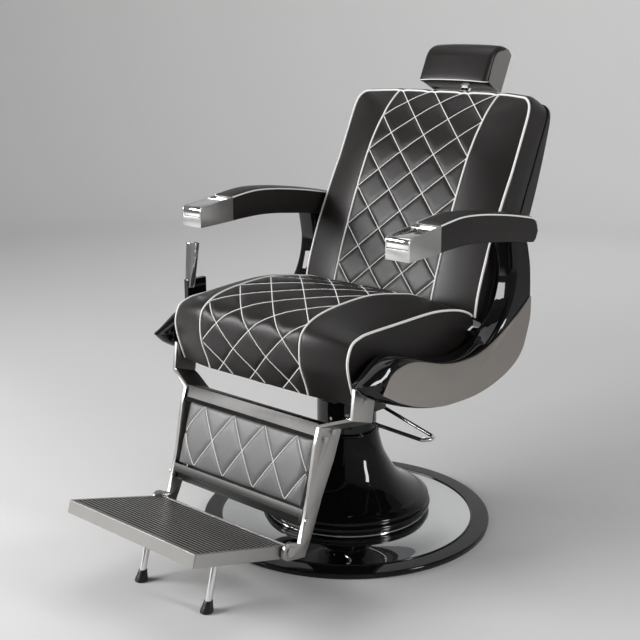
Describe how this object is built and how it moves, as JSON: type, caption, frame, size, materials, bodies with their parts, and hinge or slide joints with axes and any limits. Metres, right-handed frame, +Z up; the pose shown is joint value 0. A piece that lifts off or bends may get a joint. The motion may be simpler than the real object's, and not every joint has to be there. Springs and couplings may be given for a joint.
{
  "type": "barber chair",
  "caption": "Reclining padded barber chair on a hydraulic pedestal, with arm rests, a sliding head rest, a swinging leg rest and a folding foot plate.",
  "frame": {"origin": "centre of the foot ring, on the floor and on the column's axis", "axes": "+Z up, the sitter faces -Y, the sitter's left is +X"},
  "size_m": [0.6799, 1.1533, 1.0941],
  "materials": {
    "black_lacquer": "deep gloss black lacquer",
    "mirror_chrome": "polished chrome plate",
    "plain_steel": "plain turned steel",
    "frame_paint": "satin black paint",
    "satin_panel": "warm grey satin metal with a fine grain",
    "satin_bar": "satin steel bar",
    "tread_ribs": "ribbed tread with dark grooves",
    "dark_leather": "fine grained very dark brown leather with pale piping and stitching",
    "plywood": "black stained plywood",
    "black_rubber": "matt black rubber"
  },
  "bodies": {
    "base": {"foot_ring": "black_lacquer", "floor_mat": "black_rubber", "base_plate": "mirror_chrome", "bell_cover": "black_lacquer", "neck_ring": "mirror_chrome", "pump_housing": "black_lacquer", "cylinder_tube": "plain_steel", "gland": "plain_steel", "flange_bolts": "plain_steel", "lever_pins": "plain_steel"},
    "pump_lever": {"pump_lever": "mirror_chrome"},
    "lift": {"ram": "mirror_chrome", "piston": "plain_steel", "thrust_bearing": "plain_steel"},
    "seat": {"swivel_hub": "frame_paint", "seat_frame": "frame_paint", "seat_board": "plywood", "seat_cushion": "dark_leather", "shell_left": "black_lacquer", "shell_right": "black_lacquer", "side_panel_left": "satin_panel", "side_panel_right": "satin_panel", "arm_pad_left": "dark_leather", "arm_pad_right": "dark_leather", "arm_block_left": "mirror_chrome", "arm_block_right": "mirror_chrome", "lid_pins": "plain_steel", "recline_pins": "plain_steel", "leg_pivots": "plain_steel", "lever_pin": "plain_steel"},
    "tray_lid_left": {"tray_lid_left": "mirror_chrome"},
    "tray_lid_right": {"tray_lid_right": "mirror_chrome"},
    "recline_lever": {"recline_lever": "mirror_chrome", "lever_grip": "mirror_chrome"},
    "back": {"back_frame": "frame_paint", "back_cushion": "dark_leather", "back_shell": "dark_leather", "headrest_socket": "frame_paint"},
    "headrest_bar": {"headrest_bar": "mirror_chrome"},
    "headrest": {"headrest_shell": "satin_panel", "headrest_cushion": "dark_leather", "headrest_pin": "plain_steel"},
    "leg_rest": {"leg_arm_left": "satin_bar", "leg_arm_right": "satin_bar", "leg_bolts": "plain_steel", "upper_crossbar": "satin_bar", "lower_crossbar": "satin_bar", "calf_board": "plywood", "calf_pad": "dark_leather", "plate_pivots": "plain_steel"},
    "foot_plate": {"plate_frame": "satin_bar", "tread_plate": "tread_ribs", "prop_legs": "mirror_chrome", "prop_feet": "black_rubber"}
  },
  "joints": [
    {"name": "lift", "type": "slide", "parent": "base", "child": "lift", "axis": [0, 0, 1], "range_m": [0, 0.15]},
    {"name": "swivel", "type": "hinge", "parent": "lift", "child": "seat", "pos_m": [0, 0, 0.323], "axis": [0, 0, 1], "continuous": true},
    {"name": "recline", "type": "hinge", "parent": "seat", "child": "back", "pos_m": [0, 0.165, 0.455], "axis": [-1, 0, 0], "range_deg": [0, 50]},
    {"name": "leg_swing", "type": "hinge", "parent": "seat", "child": "leg_rest", "pos_m": [0, -0.245, 0.432], "axis": [-1, 0, 0], "range_deg": [0, 50]},
    {"name": "plate_fold", "type": "hinge", "parent": "leg_rest", "child": "foot_plate", "pos_m": [0, -0.41196, 0.11399], "axis": [-1, 0, 0], "range_deg": [0, 75]},
    {"name": "headrest_slide", "type": "slide", "parent": "back", "child": "headrest_bar", "axis": [0, 0.4226, 0.9063], "range_m": [0, 0.08]},
    {"name": "headrest_tilt", "type": "hinge", "parent": "headrest_bar", "child": "headrest", "pos_m": [0, 0.44733, 0.9942], "axis": [-1, 0, 0], "range_deg": [-12, 25]},
    {"name": "pump_stroke", "type": "hinge", "parent": "base", "child": "pump_lever", "pos_m": [0.01, 0, 0.262], "axis": [0, 1, 0], "range_deg": [0, 18], "stiffness_Nm_per_rad": 4, "springref_deg": -22.92},
    {"name": "recline_release", "type": "hinge", "parent": "seat", "child": "recline_lever", "pos_m": [-0.295, -0.185, 0.44], "axis": [-1, 0, 0], "range_deg": [0, 15], "stiffness_Nm_per_rad": 3, "springref_deg": -17.19},
    {"name": "tray_left", "type": "hinge", "parent": "seat", "child": "tray_lid_left", "pos_m": [0.299, -0.1305, 0.74135], "axis": [-1, 0, 0], "range_deg": [0, 90]},
    {"name": "tray_right", "type": "hinge", "parent": "seat", "child": "tray_lid_right", "pos_m": [-0.299, -0.1305, 0.74135], "axis": [-1, 0, 0], "range_deg": [0, 90]}
  ],
  "couplings": [
    {"joint": "leg_swing", "follows": "recline", "ratio": 1}
  ]
}
